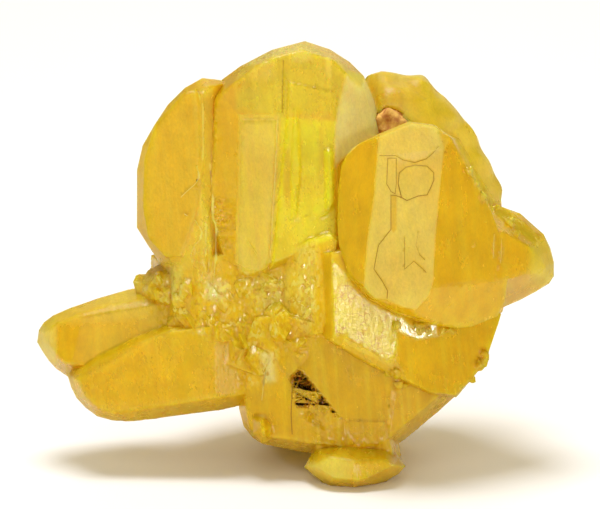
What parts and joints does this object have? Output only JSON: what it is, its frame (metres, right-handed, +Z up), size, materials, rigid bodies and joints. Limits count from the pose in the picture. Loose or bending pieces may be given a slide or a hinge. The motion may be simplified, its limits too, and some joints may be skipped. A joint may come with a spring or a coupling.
{
  "type": "sulfur specimen",
  "caption": "Free-standing mineral specimen: a cluster of intergrown native sulfur crystals, tablets, a stout prism and blades, with clay in a crevice and a flat cut to rest on.",
  "frame": {"origin": "centre of the bounding box in plan, on the surface the specimen rests on", "axes": "+Z up, +X to the right across the widest side, the front with the stout prism faces -Y"},
  "size_m": [0.0466, 0.0256, 0.037],
  "materials": {
    "sulfur": "resinous translucent crystal faces, partly etched",
    "clay": "dull earthy"
  },
  "bodies": {
    "root": {"sulfur_crystals": "sulfur", "clay_matrix": "clay"}
  },
  "joints": []
}
